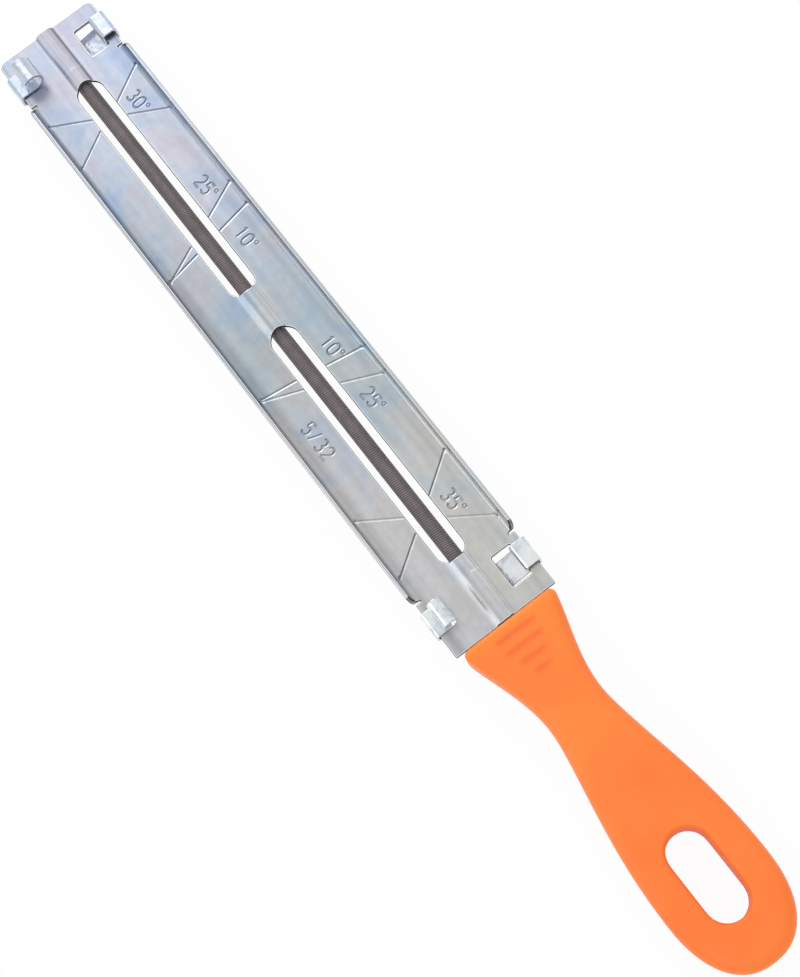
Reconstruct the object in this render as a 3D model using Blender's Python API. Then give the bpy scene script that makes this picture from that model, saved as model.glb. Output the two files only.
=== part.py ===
# File guide for a saw chain: a pressed steel plate that lies on the chain and holds a round file
# beneath its middle ridge, two spring clips that wrap the plate and carry the file, and a moulded
# handle pushed onto the file's tang.
#
# All sizes are in metres. X runs along the file towards the handle, Y runs across the plate and Z is
# up. The origin is under the middle of the tool, on the surface that the handle lies on.

import math

import bmesh
import bpy
from mathutils import Vector

# Clearances
fit_gap = 0.0003
cut_overrun = 0.003

# Round file
file_diameter = 0.004
file_tip_chamfer = 0.0003
file_tip_inset = 0.0015
file_shank_in_handle = 0.004
tang_length = 0.034
tang_shoulder_length = 0.0035
tang_root_width = 0.0033
tang_root_thickness = 0.0024
tang_end_width = 0.0016
tang_end_thickness = 0.0012
file_sides = 32
tang_squareness = 6

# Plate
sheet_thickness = 0.001
plate_length = 0.196
plate_end_width = 0.0289
tip_corner_radius = 0.0017
heel_corner_radius = 0.0004
ridge_height = 0.001
ridge_foot_radius = 0.0005

# Flanges along the plate's sides
flange_width = 0.031
flange_end_inset = 0.0162
flange_height = 0.002
flange_end_chamfer = 0.002
flange_bend_radius = 0.0015
flange_relief = 0.0004
flange_angle = math.radians(80)

# Slots over the file
slot_width = 0.0075
slot_inset = 0.0189
slot_web = 0.0128
slot_handle_end_radius = 0.003

# Rectangular holes that the clips hook into
bar_width = 0.00275
hole_width = 0.0055
hole_centre_inset = 0.00955
hole_corner_radius = 0.0005

# Spring clips
clip_thickness = 0.0006
clip_width = 0.00683
clip_side_play = 0.00098
clip_turning_gap = 0.0002
clip_bend_radius = 0.0008
clip_leg_reach = 0.0009
clip_strap_rise = 0.0019
tip_clip_shift_share = -0.88
heel_clip_shift_share = -0.29

# Rolled finger grips at the clips' free ends
grip_height = 0.0053
tip_grip_width = 0.0053
tip_grip_inset = 0.00425
heel_grip_width = 0.004
heel_grip_inset = 0.0035
grip_sweep = math.radians(235)

# Handle
handle_gap = 0.0004
handle_length = 0.096
handle_thickness = 0.012
handle_front_width = 0.0268
handle_neck_width = 0.0154
handle_belly_width = 0.0279
handle_neck_from_front = 0.0255
handle_end_reach = 0.0204
handle_end_squareness = 2.3
handle_front_corner_radius = 0.002
handle_front_edge_radius = 0.0015
handle_side_edge_radius = 0.003
handle_edge_blend_length = 0.01
handle_end_taper_length = 0.012
handle_end_thickness = 0.009
neck_curve_share = 0.8
belly_curve_power = 0.75

# Hang slot in the handle
hang_slot_length = 0.0234
hang_slot_width = 0.0106
hang_slot_from_end = 0.0117
hang_slot_rim_radius = 0.001

# Thumb grooves across the handle's faces, the longest one nearest the plate
groove_width = 0.001
groove_depth = 0.00035
groove_from_front = 0.0033
groove_pitch = 0.0035
longest_groove_length = 0.0128
groove_length_shares = (1.0, 0.94, 0.68, 0.47)

# Places worked out from the sizes above
tool_length = plate_length + handle_gap + handle_length
tip_x = -tool_length / 2
heel_x = tip_x + plate_length
handle_x = heel_x + handle_gap
handle_end_x = handle_x + handle_length
file_z = handle_thickness / 2
file_radius = file_diameter / 2
channel_radius = file_radius + fit_gap
plate_top_z = file_z + channel_radius + sheet_thickness - ridge_height
plate_bottom_z = plate_top_z - sheet_thickness
plate_side_y = plate_end_width / 2
bar_centre_y = plate_side_y - bar_width / 2
bar_centre_z = plate_top_z - sheet_thickness / 2


def clear_scene():
    for thing in list(bpy.data.objects):
        bpy.data.objects.remove(thing, do_unlink=True)


def linear(channel):
    if channel <= 0.04045:
        return channel / 12.92
    return ((channel + 0.055) / 1.055) ** 2.4


def look(name, red, green, blue, roughness, metallic):
    made = bpy.data.materials.new(name)
    made.use_nodes = True
    shader = made.node_tree.nodes["Principled BSDF"]
    colour = [linear(part / 255) for part in (red, green, blue)]
    shader.inputs["Base Color"].default_value = (*colour, 1)
    shader.inputs["Roughness"].default_value = roughness
    shader.inputs["Metallic"].default_value = metallic
    return made


# Outlines: lists of two-part vectors in the plane of a section or of the plan


def arc(centre, radii, start, sweep, steps):
    points = []
    for step in range(steps + 1):
        turn = start + sweep * step / steps
        reach = (radii[0] * math.cos(turn), radii[1] * math.sin(turn))
        points.append(Vector((centre[0] + reach[0], centre[1] + reach[1])))
    return points


def fillet(before, corner, after, radius, steps=5):
    # The arc that rounds a corner between two straight runs
    back = (before - corner).normalized()
    ahead = (after - corner).normalized()
    half_opening = back.angle(ahead) / 2
    centre = corner + (back + ahead).normalized() * radius / math.sin(half_opening)
    first = corner + back * radius / math.tan(half_opening) - centre
    last = corner + ahead * radius / math.tan(half_opening) - centre
    points = []
    for step in range(steps + 1):
        points.append(centre + first.lerp(last, step / steps).normalized() * radius)
    return points


def thicken(path, thickness):
    # The outline of a bent strip whose middle line is the path
    sides = ([], [])
    for place, point in enumerate(path):
        normals = []
        for first, second in ((place - 1, place), (place, place + 1)):
            if first >= 0 and second < len(path):
                run = (path[second] - path[first]).normalized()
                normals.append(Vector((-run.y, run.x)))
        mitre = (normals[0] + normals[-1]) / (1 + normals[0].dot(normals[-1]))
        sides[0].append(point + mitre * thickness / 2)
        sides[1].append(point - mitre * thickness / 2)
    return sides[0] + sides[1][::-1]


def rounded_rectangle(low, high, low_radius, high_radius):
    # Low and high are opposite corners. The radii round the ends at low x and at high x.
    outline = []
    quarter = math.pi / 2
    corners = (
        (high.x - high_radius, high.y - high_radius, high_radius, 0),
        (low.x + low_radius, high.y - low_radius, low_radius, quarter),
        (low.x + low_radius, low.y + low_radius, low_radius, 2 * quarter),
        (high.x - high_radius, low.y + high_radius, high_radius, 3 * quarter),
    )
    for x, y, radius, start in corners:
        for point in arc((x, y), (radius, radius), start, quarter, 8):
            if not outline or (point - outline[-1]).length > radius / 100:
                outline.append(point)
    return outline


def superellipse(half_y, half_z, power, sides):
    # A closed section that is round at power 2 and squarer above it
    section = []
    for step in range(sides):
        turn = 2 * math.pi * step / sides
        across, up = math.cos(turn), math.sin(turn)
        y = math.copysign(abs(across) ** (2 / power), across) * half_y
        z = math.copysign(abs(up) ** (2 / power), up) * half_z
        section.append((y, z))
    return section


# Solids: bmesh shapes in the tool's own place


def add_prism(shape, corners, travel):
    face = shape.faces.new([shape.verts.new(corner) for corner in corners])
    grown = bmesh.ops.extrude_face_region(shape, geom=[face])
    moved = [item for item in grown["geom"] if isinstance(item, bmesh.types.BMVert)]
    bmesh.ops.translate(shape, verts=moved, vec=travel)


def prism_along_x(section, start_x, end_x):
    shape = bmesh.new()
    add_prism(shape, [(start_x, y, z) for y, z in section], (end_x - start_x, 0, 0))
    return shape


def prism_along_z(plans, start_z, end_z):
    shape = bmesh.new()
    for plan in plans:
        add_prism(shape, [(x, y, start_z) for x, y in plan], (0, 0, end_z - start_z))
    return shape


def loft(rings):
    # A solid through closed rings of as many points each
    shape = bmesh.new()
    loops = []
    for ring in rings:
        verts = [shape.verts.new(point) for point in ring]
        pairs = zip(verts, verts[1:] + verts[:1])
        loops.append((verts, [shape.edges.new(pair) for pair in pairs]))
    for near, far in zip(loops, loops[1:]):
        bmesh.ops.bridge_loops(shape, edges=near[1] + far[1])
    shape.faces.new(loops[0][0])
    shape.faces.new(loops[-1][0])
    return shape


def make_object(name, shape, origin):
    bmesh.ops.recalc_face_normals(shape, faces=shape.faces)
    bmesh.ops.translate(shape, verts=shape.verts, vec=-origin)
    mesh = bpy.data.meshes.new(name)
    shape.to_mesh(mesh)
    shape.free()
    thing = bpy.data.objects.new(name, mesh)
    thing.location = origin
    bpy.context.scene.collection.objects.link(thing)
    return thing


def make_piece(name, shape, material, origin=Vector(), smooth=True):
    piece = make_object(name, shape, origin)
    piece.data.materials.append(material)
    if smooth:
        piece.data.shade_smooth()
        piece.data.set_sharp_from_angle(angle=math.radians(30))
    return piece


def make_helper(name, shape):
    helper = make_object(name, shape, Vector())
    helper.hide_render = True
    helper.display_type = "WIRE"
    return helper


def combine(piece, helper, operation):
    modifier = piece.modifiers.new(helper.name, "BOOLEAN")
    modifier.operation = operation
    modifier.object = helper


def carry(piece, carrier):
    # Parents a piece and keeps it where it is
    place = piece.location - carrier.location
    piece.parent = carrier
    piece.location = place


# Plate


def plate_section():
    # The middle line of the sheet between its two flanges, up over the ridge and down again
    foot_z = plate_top_z + ridge_foot_radius
    axis_to_foot = channel_radius + sheet_thickness + ridge_foot_radius
    foot_y = math.sqrt(axis_to_foot**2 - (foot_z - file_z) ** 2)
    lean = math.atan2(foot_z - file_z, foot_y)
    crown = channel_radius + sheet_thickness / 2
    foot = ridge_foot_radius + sheet_thickness / 2
    half = arc((0, file_z), (crown, crown), math.pi / 2, lean - math.pi / 2, 8)
    half += arc((foot_y, foot_z), (foot, foot), lean + math.pi, math.pi / 2 - lean, 4)[1:]
    half.append(Vector((flange_root_y(), bar_centre_z)))
    mirrored = [Vector((-y, z)) for y, z in half[:0:-1]]
    return thicken(mirrored + half, sheet_thickness)


def lip_length():
    # The straight part of the flange above its bend
    bent_height = flange_bend_radius * (1 - math.cos(flange_angle))
    return (flange_height - bent_height) / math.sin(flange_angle)


def flange_root_y():
    # Where the flat of the plate ends and the bend of the flange starts
    outer_radius = flange_bend_radius + sheet_thickness
    straight = lip_length() * math.cos(flange_angle)
    return flange_width / 2 - outer_radius * math.sin(flange_angle) - straight


def flange_path():
    bend = flange_bend_radius + sheet_thickness / 2
    centre = (flange_root_y(), plate_top_z + flange_bend_radius)
    path = arc(centre, (bend, bend), -math.pi / 2, flange_angle, 8)
    rise = Vector((math.cos(flange_angle), math.sin(flange_angle)))
    return path + [path[-1] + rise * lip_length()]


def grow_edge(shape, face, path, side):
    # Pulls a face of the sheet's edge along a path, so that the sheet goes on with its own thickness
    outline = thicken(path, sheet_thickness)
    steps = len(path)
    inner, outer = outline[:steps], outline[:steps - 1:-1]
    for step in range(1, steps):
        grown = bmesh.ops.extrude_face_region(shape, geom=[face])["geom"]
        bmesh.ops.delete(shape, geom=[face], context="FACES_ONLY")
        face = next(item for item in grown if isinstance(item, bmesh.types.BMFace))
        for vert in face.verts:
            spot = Vector((abs(vert.co.y), vert.co.z))
            nearer_inner = (spot - inner[step - 1]).length < (spot - outer[step - 1]).length
            y, z = inner[step] if nearer_inner else outer[step]
            vert.co = (vert.co.x, side * y, z)
    return face


def slope_flange_ends(shape, start_x, end_x):
    # Each end of a flange slopes up from the plate's top face to the flange's own top
    for vert in shape.verts:
        lift = (vert.co.z - plate_top_z) / flange_height
        if abs(vert.co.y) > flange_root_y() and lift > 0:
            towards_handle = vert.co.x < (start_x + end_x) / 2
            vert.co.x += flange_end_chamfer * lift * (1 if towards_handle else -1)


def edge_face(shape, side, start_x, end_x):
    # The face of the sheet's edge between two stations
    middle = Vector(((start_x + end_x) / 2, side * flange_root_y(), bar_centre_z))
    return min(shape.faces, key=lambda face: (face.calc_center_median() - middle).length)


def round_sheet_corners(shape):
    # Rounds the upright edges at the four corners of the flat sheet
    for end_x, radius in ((tip_x, tip_corner_radius), (heel_x, heel_corner_radius)):
        uprights = []
        for edge in shape.edges:
            end_gap = max(abs(vert.co.x - end_x) for vert in edge.verts)
            side_gap = max(plate_side_y - abs(vert.co.y) for vert in edge.verts)
            if max(end_gap, side_gap) < fit_gap:
                uprights.append(edge)
        bmesh.ops.bevel(shape, geom=uprights, offset=radius, segments=6, profile=0.5, affect="EDGES")


def sheet_shape():
    # The sheet between the flanges, then its flat ends and its flanges grown from its edges
    start_x = tip_x + flange_end_inset
    end_x = heel_x - flange_end_inset
    stations = (tip_x, start_x - flange_relief, start_x, end_x, end_x + flange_relief, heel_x)
    shape = prism_along_x(plate_section(), tip_x, heel_x)
    for x in stations[1:-1]:
        everything = shape.verts[:] + shape.edges[:] + shape.faces[:]
        bmesh.ops.bisect_plane(shape, geom=everything, plane_co=(x, 0, 0), plane_no=(1, 0, 0))
    flat_end = [Vector((flange_root_y(), bar_centre_z)), Vector((plate_side_y, bar_centre_z))]
    for side in (1, -1):
        grow_edge(shape, edge_face(shape, side, stations[0], stations[1]), flat_end, side)
        grow_edge(shape, edge_face(shape, side, stations[4], stations[5]), flat_end, side)
        grow_edge(shape, edge_face(shape, side, start_x, end_x), flange_path(), side)
    slope_flange_ends(shape, start_x, end_x)
    round_sheet_corners(shape)
    return shape


def slot_plans():
    middle_x = tip_x + plate_length / 2
    starts_and_ends = (
        (tip_x + slot_inset, middle_x - slot_web / 2),
        (middle_x + slot_web / 2, heel_x - slot_inset),
    )
    plans = []
    for start_x, end_x in starts_and_ends:
        low = Vector((start_x, -slot_width / 2))
        high = Vector((end_x, slot_width / 2))
        plans.append(rounded_rectangle(low, high, slot_width / 2, slot_handle_end_radius))
    return plans


def hole_centres_x():
    return tip_x + hole_centre_inset, heel_x - hole_centre_inset


def hole_plans():
    half_length = clip_width / 2 + clip_side_play
    outer_y = plate_side_y - bar_width
    plans = []
    for centre_x in hole_centres_x():
        low = Vector((centre_x - half_length, outer_y - hole_width))
        high = Vector((centre_x + half_length, outer_y))
        plans.append(rounded_rectangle(low, high, hole_corner_radius, hole_corner_radius))
    return plans


def make_plate(material):
    plate = make_piece("guide_plate", sheet_shape(), material)
    below = plate_bottom_z - cut_overrun
    above = plate_top_z + cut_overrun
    combine(plate, make_helper("slot_cutter", prism_along_z(slot_plans(), below, above)), "DIFFERENCE")
    combine(plate, make_helper("hole_cutter", prism_along_z(hole_plans(), below, above)), "DIFFERENCE")
    return plate


# Spring clips


def knuckle_half_size():
    # Half the inside of the knuckle, large enough for the bar to turn in it
    return math.hypot(bar_width / 2, sheet_thickness / 2) + clip_turning_gap


def clip_path(grip_width, grip_inset):
    # The middle line of the strip, from its hooked end to its rolled end
    half_strip = clip_thickness / 2
    knuckle = knuckle_half_size() + half_strip
    hook_y = bar_centre_y - knuckle
    wall_y = bar_centre_y + knuckle
    tab_z = bar_centre_z + knuckle
    far_wall_y = -(plate_side_y + fit_gap + half_strip)
    rest_z = plate_top_z + fit_gap + half_strip
    strap_z = file_z - file_radius - fit_gap - half_strip
    strap_steps = 16
    strap = []
    for step in range(strap_steps + 1):
        y = wall_y + (far_wall_y - wall_y) * step / strap_steps
        strap.append(Vector((y, strap_z + clip_strap_rise * (y / wall_y) ** 2)))
    hook_end = Vector((hook_y, plate_bottom_z - clip_leg_reach))
    hook_corner = Vector((hook_y, tab_z))
    wall_corner = Vector((wall_y, tab_z))
    far_corner = Vector((far_wall_y, rest_z))
    grip_centre = (-(plate_side_y - grip_inset), rest_z + grip_height / 2)
    grip = arc(grip_centre, (grip_width / 2, grip_height / 2), -math.pi / 2, grip_sweep, 20)
    path = [hook_end]
    path += fillet(hook_end, hook_corner, wall_corner, clip_bend_radius)
    path += fillet(hook_corner, wall_corner, strap[0], clip_bend_radius)
    path += fillet(wall_corner, strap[0], strap[2], clip_bend_radius)
    path += strap[2:-2]
    path += fillet(strap[-3], strap[-1], far_corner, clip_bend_radius)
    path += fillet(strap[-1], far_corner, grip[0], clip_bend_radius)
    return path + grip


def make_clip(name, hole_x, shift_share, grip, material):
    centre_x = hole_x + shift_share * (clip_side_play - fit_gap)
    section = thicken(clip_path(*grip), clip_thickness)
    shape = prism_along_x(section, centre_x - clip_width / 2, centre_x + clip_width / 2)
    return make_piece(name, shape, material, Vector((centre_x, bar_centre_y, bar_centre_z)))


# File


def file_rings(extra, start_x):
    # Rings of the file's shank and tang inside the handle, made larger all round by a clearance
    shank_end_x = handle_x + file_shank_in_handle
    tang_end_x = shank_end_x + tang_length
    stations = (
        (start_x, file_radius, file_radius, 2),
        (shank_end_x, file_radius, file_radius, 2),
        (shank_end_x + tang_shoulder_length, tang_root_width / 2, tang_root_thickness / 2, tang_squareness),
        (tang_end_x + extra, tang_end_width / 2, tang_end_thickness / 2, tang_squareness),
    )
    rings = []
    for x, half_y, half_z, power in stations:
        section = superellipse(half_y + extra, half_z + extra, power, file_sides)
        rings.append([(x, y, file_z + z) for y, z in section])
    return rings


def make_file(material):
    start_x = tip_x + file_tip_inset
    tip_radius = file_radius - file_tip_chamfer
    tip_ring = [(start_x, y, file_z + z) for y, z in superellipse(tip_radius, tip_radius, 2, file_sides)]
    shape = loft([tip_ring] + file_rings(0, start_x + file_tip_chamfer))
    return make_piece("round_file", shape, material, Vector((handle_x, 0, file_z)))


# Handle


def ease(share):
    return (1 - math.cos(math.pi * share)) / 2


def handle_half_width(x):
    # From the front face the handle narrows to its neck and then swells to its belly
    neck_x = handle_x + handle_neck_from_front
    belly_x = handle_end_x - handle_end_reach
    if x < neck_x:
        share = (neck_x - x) / handle_neck_from_front
        swell = ease(share * neck_curve_share) / ease(neck_curve_share)
        return (handle_neck_width + (handle_front_width - handle_neck_width) * swell) / 2
    swell = ease(((x - neck_x) / (belly_x - neck_x)) ** belly_curve_power)
    return (handle_neck_width + (handle_belly_width - handle_neck_width) * swell) / 2


def handle_plan_side():
    # One side of the handle seen from above, from the front face to the middle of the end
    corner = handle_front_corner_radius
    belly_x = handle_end_x - handle_end_reach
    side = []
    corner_steps = 6
    for step in range(corner_steps):
        turn = math.pi / 2 * step / corner_steps
        x = handle_x + corner * (1 - math.cos(turn))
        side.append(Vector((x, handle_half_width(x) - corner * (1 - math.sin(turn)))))
    side_steps = 26
    for step in range(side_steps):
        x = handle_x + corner + (belly_x - handle_x - corner) * step / side_steps
        side.append(Vector((x, handle_half_width(x))))
    end_steps = 16
    power = 2 / handle_end_squareness
    for step in range(end_steps):
        turn = math.pi / 2 * step / end_steps
        x = belly_x + handle_end_reach * math.sin(turn) ** power
        side.append(Vector((x, handle_belly_width / 2 * math.cos(turn) ** power)))
    return side + [Vector((handle_end_x, 0))]


def handle_edge_radius(x):
    share = min((x - handle_x) / handle_edge_blend_length, 1)
    return handle_front_edge_radius + (handle_side_edge_radius - handle_front_edge_radius) * ease(share)


def handle_ring(plan, turn):
    # The handle's outline at one height of its rounded edge. Turn is a right angle at the flat face.
    ring = []
    for place, point in enumerate(plan):
        run = plan[(place + 1) % len(plan)] - plan[place - 1]
        inward = Vector((run.y, -run.x)).normalized()
        radius = handle_edge_radius(point.x)
        inset = point + inward * radius * (1 - math.cos(turn))
        rise = handle_thickness / 2 - radius * (1 - abs(math.sin(turn)))
        ring.append((inset.x, inset.y, file_z + math.copysign(rise, turn)))
    return ring


def thin_handle_end(shape):
    # Slopes both faces evenly from the start of the taper to the end
    start_x = handle_end_x - handle_end_taper_length
    everything = shape.verts[:] + shape.edges[:] + shape.faces[:]
    bmesh.ops.bisect_plane(shape, geom=everything, plane_co=(start_x, 0, 0), plane_no=(1, 0, 0))
    thinning = 1 - handle_end_thickness / handle_thickness
    for vert in shape.verts:
        share = max(vert.co.x - start_x, 0) / handle_end_taper_length
        vert.co.z = file_z + (vert.co.z - file_z) * (1 - thinning * share)


def hang_slot_shape():
    # The slot flares at both faces, which leaves it a rounded rim
    end_x = handle_end_x - hang_slot_from_end
    half_width = hang_slot_width / 2
    centres = (end_x - half_width, end_x - hang_slot_length + half_width)
    levels = [(handle_thickness / 2 + cut_overrun, hang_slot_rim_radius)]
    steps = 4
    for step in range(steps, -1, -1):
        turn = math.pi / 2 * step / steps
        rise = handle_thickness / 2 - hang_slot_rim_radius * (1 - math.sin(turn))
        levels.append((rise, hang_slot_rim_radius * (1 - math.cos(turn))))
    levels += [(-rise, flare) for rise, flare in reversed(levels)]
    rings = []
    for rise, flare in levels:
        radius = half_width + flare
        plan = arc((centres[0], 0), (radius, radius), -math.pi / 2, math.pi, 14)
        plan += arc((centres[1], 0), (radius, radius), math.pi / 2, math.pi, 14)
        rings.append([(x, y, file_z + rise) for x, y in plan])
    return loft(rings)


def groove_shape():
    # Long lens shapes that sink into both faces of the handle
    shape = bmesh.new()
    for place, length_share in enumerate(groove_length_shares):
        x = handle_x + groove_from_front + groove_pitch * place
        half_length = longest_groove_length * length_share / 2
        for face_z in (0, handle_thickness):
            lens = bmesh.ops.create_icosphere(shape, subdivisions=3, radius=1)["verts"]
            bmesh.ops.scale(shape, verts=lens, vec=(groove_width / 2, half_length, groove_depth))
            bmesh.ops.translate(shape, verts=lens, vec=(x, 0, face_z))
    return shape


def make_handle(material):
    side = handle_plan_side()
    plan = side + [Vector((x, -y)) for x, y in side[-2::-1]]
    edge_steps = 4
    turns = [math.pi / 2 * step / edge_steps for step in range(-edge_steps, edge_steps + 1)]
    shape = loft([handle_ring(plan, turn) for turn in turns])
    thin_handle_end(shape)
    handle = make_piece("handle", shape, material, Vector((handle_x, 0, file_z)))
    combine(handle, make_helper("hang_slot_cutter", hang_slot_shape()), "DIFFERENCE")
    combine(handle, make_helper("groove_cutter", groove_shape()), "DIFFERENCE")
    socket = loft(file_rings(fit_gap, handle_x - cut_overrun))
    combine(handle, make_helper("socket_cutter", socket), "DIFFERENCE")
    return handle


def main():
    clear_scene()
    plated_steel = look("zinc plated steel", 196, 201, 208, 0.38, 0.9)
    spring_steel = look("plated spring steel", 200, 210, 222, 0.3, 0.9)
    file_steel = look("file steel", 104, 96, 94, 0.5, 0.9)
    orange_plastic = look("orange plastic", 255, 139, 69, 0.45, 0)
    tip_hole_x, heel_hole_x = hole_centres_x()
    plate = make_plate(plated_steel)
    tip_grip = (tip_grip_width, tip_grip_inset)
    heel_grip = (heel_grip_width, heel_grip_inset)
    tip_clip = make_clip("tip_clip", tip_hole_x, tip_clip_shift_share, tip_grip, spring_steel)
    heel_clip = make_clip("heel_clip", heel_hole_x, heel_clip_shift_share, heel_grip, spring_steel)
    round_file = make_file(file_steel)
    handle = make_handle(orange_plastic)
    carry(handle, round_file)
    carry(round_file, plate)
    carry(tip_clip, plate)
    carry(heel_clip, plate)


main()
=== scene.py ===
# Looks for the chain file guide: a zinc plated plate with stamped angle lines, two spring clips,
# a round file and a moulded handle. Lengths are in metres, and X runs from the plate's tip to the handle.
import math

import bmesh
import bpy
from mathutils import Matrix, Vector


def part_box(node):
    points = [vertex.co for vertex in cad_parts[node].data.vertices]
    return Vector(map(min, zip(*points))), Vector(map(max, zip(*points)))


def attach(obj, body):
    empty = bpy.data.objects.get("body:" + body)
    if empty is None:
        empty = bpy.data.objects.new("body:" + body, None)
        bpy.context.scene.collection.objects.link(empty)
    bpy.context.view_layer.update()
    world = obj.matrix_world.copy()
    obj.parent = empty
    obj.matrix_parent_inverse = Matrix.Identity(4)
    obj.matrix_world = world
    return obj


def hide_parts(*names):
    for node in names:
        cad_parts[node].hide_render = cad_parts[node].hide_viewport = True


mm = 0.001
mergeReach = 0.001 * mm  # points nearer than this are one point
noiseSpread = {"From Min": 0.3, "From Max": 0.7}  # a noise texture seldom leaves this range

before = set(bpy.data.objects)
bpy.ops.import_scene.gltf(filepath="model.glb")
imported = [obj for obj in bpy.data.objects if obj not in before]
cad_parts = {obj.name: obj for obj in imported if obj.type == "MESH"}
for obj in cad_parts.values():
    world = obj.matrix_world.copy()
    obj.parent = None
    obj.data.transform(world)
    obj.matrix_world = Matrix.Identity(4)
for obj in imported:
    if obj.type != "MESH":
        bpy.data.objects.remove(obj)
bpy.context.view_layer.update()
print("frame loaded")


# Shared helpers
def linearColour(hexText):
    shares = [int(hexText[place:place + 2], 16) / 255 for place in (1, 3, 5)]
    linear = [s / 12.92 if s <= 0.04045 else ((s + 0.055) / 1.055) ** 2.4 for s in shares]
    return (*linear, 1)


def addNode(tree, kind, settings=None, inputs=None):
    node = tree.nodes.new(kind)
    for name, value in (settings or {}).items():
        if name == "stops":  # a colour ramp's stops, each a place from 0 to 1 and a colour or a grey share
            stops = node.color_ramp.elements
            while len(stops) < len(value):
                stops.new(1)
            for stop, (place, colour) in zip(stops, value):
                stop.position = place
                stop.color = linearColour(colour) if isinstance(colour, str) else (colour, colour, colour, 1)
        else:
            setattr(node, name, value)
    for socket, value in (inputs or {}).items():
        if isinstance(value, bpy.types.NodeSocket):
            tree.links.new(value, node.inputs[socket])
        else:
            node.inputs[socket].default_value = value
    return node


def startMaterial(name, settings):
    # Gives the tree, its shader with the settings on it, and the object's own coordinates in millimetres
    material = bpy.data.materials.new(name)
    material.use_nodes = True
    tree = material.node_tree
    shader = tree.nodes["Principled BSDF"]
    for socket, value in settings.items():
        shader.inputs[socket].default_value = value
    place = addNode(tree, "ShaderNodeTexCoord")
    inMm = addNode(tree, "ShaderNodeMapping", {"vector_type": "POINT"},
                   {"Vector": place.outputs["Object"], "Scale": (1 / mm, 1 / mm, 1 / mm)})
    return material, tree, shader, inMm.outputs["Vector"]


def newObject(name, mesh):
    made = bpy.data.objects.new(name, mesh)
    bpy.context.scene.collection.objects.link(made)
    return made


def applyModifiers(piece):
    bpy.context.view_layer.update()
    shaped = bpy.data.meshes.new_from_object(piece.evaluated_get(bpy.context.evaluated_depsgraph_get()))
    piece.modifiers.clear()
    piece.data = shaped
    return piece


def joinFlats(mesh):
    # Merges loose triangles and joins up the ones that make one flat face
    flatWithin = math.radians(0.3)
    shape = bmesh.new()
    shape.from_mesh(mesh)
    bmesh.ops.remove_doubles(shape, verts=shape.verts, dist=mergeReach)
    bmesh.ops.dissolve_degenerate(shape, edges=shape.edges, dist=mergeReach)
    bmesh.ops.dissolve_limit(shape, angle_limit=flatWithin, verts=shape.verts, edges=shape.edges)
    shape.to_mesh(mesh)
    shape.free()


def copyOfNode(node, name):
    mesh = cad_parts[node].data.copy()
    mesh.materials.clear()
    joinFlats(mesh)
    return newObject(name, mesh)


def softenEdges(piece, radius, segments, fromAngle):
    # Rounds the sharp edges, and keeps on each face how upright it stands if it is part of a rounding. The
    # layer is made first, because making one later loses hold of the faces.
    leastShare = 0.02
    shape = bmesh.new()
    shape.from_mesh(piece.data)
    edgeShare = shape.faces.layers.float.new("edgeShare")
    sharp = [edge for edge in shape.edges
             if len(edge.link_faces) == 2 and edge.calc_face_angle(0) > math.radians(fromAngle)]
    rounded = bmesh.ops.bevel(shape, geom=sharp, offset=radius, offset_type="OFFSET", segments=segments,
                              profile=0.5, affect="EDGES", material=-1)
    for face in rounded["faces"]:
        face.normal_update()
        face[edgeShare] = max(leastShare, 1 - abs(face.normal.z))
    shape.to_mesh(piece.data)
    shape.free()


def shadeByAngle(piece, angle):
    # Smooth shading with a crease at every edge sharper than the angle in degrees, and flat faces kept flat
    importedNormals = piece.data.attributes.get("custom_normal")
    if importedNormals:
        piece.data.attributes.remove(importedNormals)
    shape = bmesh.new()
    shape.from_mesh(piece.data)
    for face in shape.faces:
        face.smooth = True
    for edge in shape.edges:
        edge.smooth = edge.calc_face_angle(math.pi) < math.radians(angle)
    shape.to_mesh(piece.data)
    shape.free()
    evenOut = piece.modifiers.new("evenNormals", "WEIGHTED_NORMAL")
    evenOut.keep_sharp = True
    evenOut.weight = 80  # leans the shading towards the larger faces


def finishPiece(piece, material, body, node):
    piece.data.materials.clear()
    piece.data.materials.append(material)
    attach(piece, body)
    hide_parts(node)


# Camera
camera = {
    "place": (137.20 * mm, -29.12 * mm, 459.13 * mm),
    "turn": (14.772, 6.807, 53.173),  # degrees round X, Y and Z
    "lens": 73.06,
    "sensorHeight": 36,
    "near": 1 * mm,
    "far": 20,
}


def makeCamera():
    lens = bpy.data.cameras.new("camera")
    lens.sensor_fit = "VERTICAL"
    lens.sensor_height = camera["sensorHeight"]
    lens.lens = camera["lens"]
    lens.clip_start = camera["near"]
    lens.clip_end = camera["far"]
    made = newObject("camera", lens)
    made.location = camera["place"]
    made.rotation_euler = [math.radians(part) for part in camera["turn"]]
    bpy.context.scene.camera = made
    bpy.context.scene.view_settings.view_transform = "Standard"
    print("camera placed")


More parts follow.
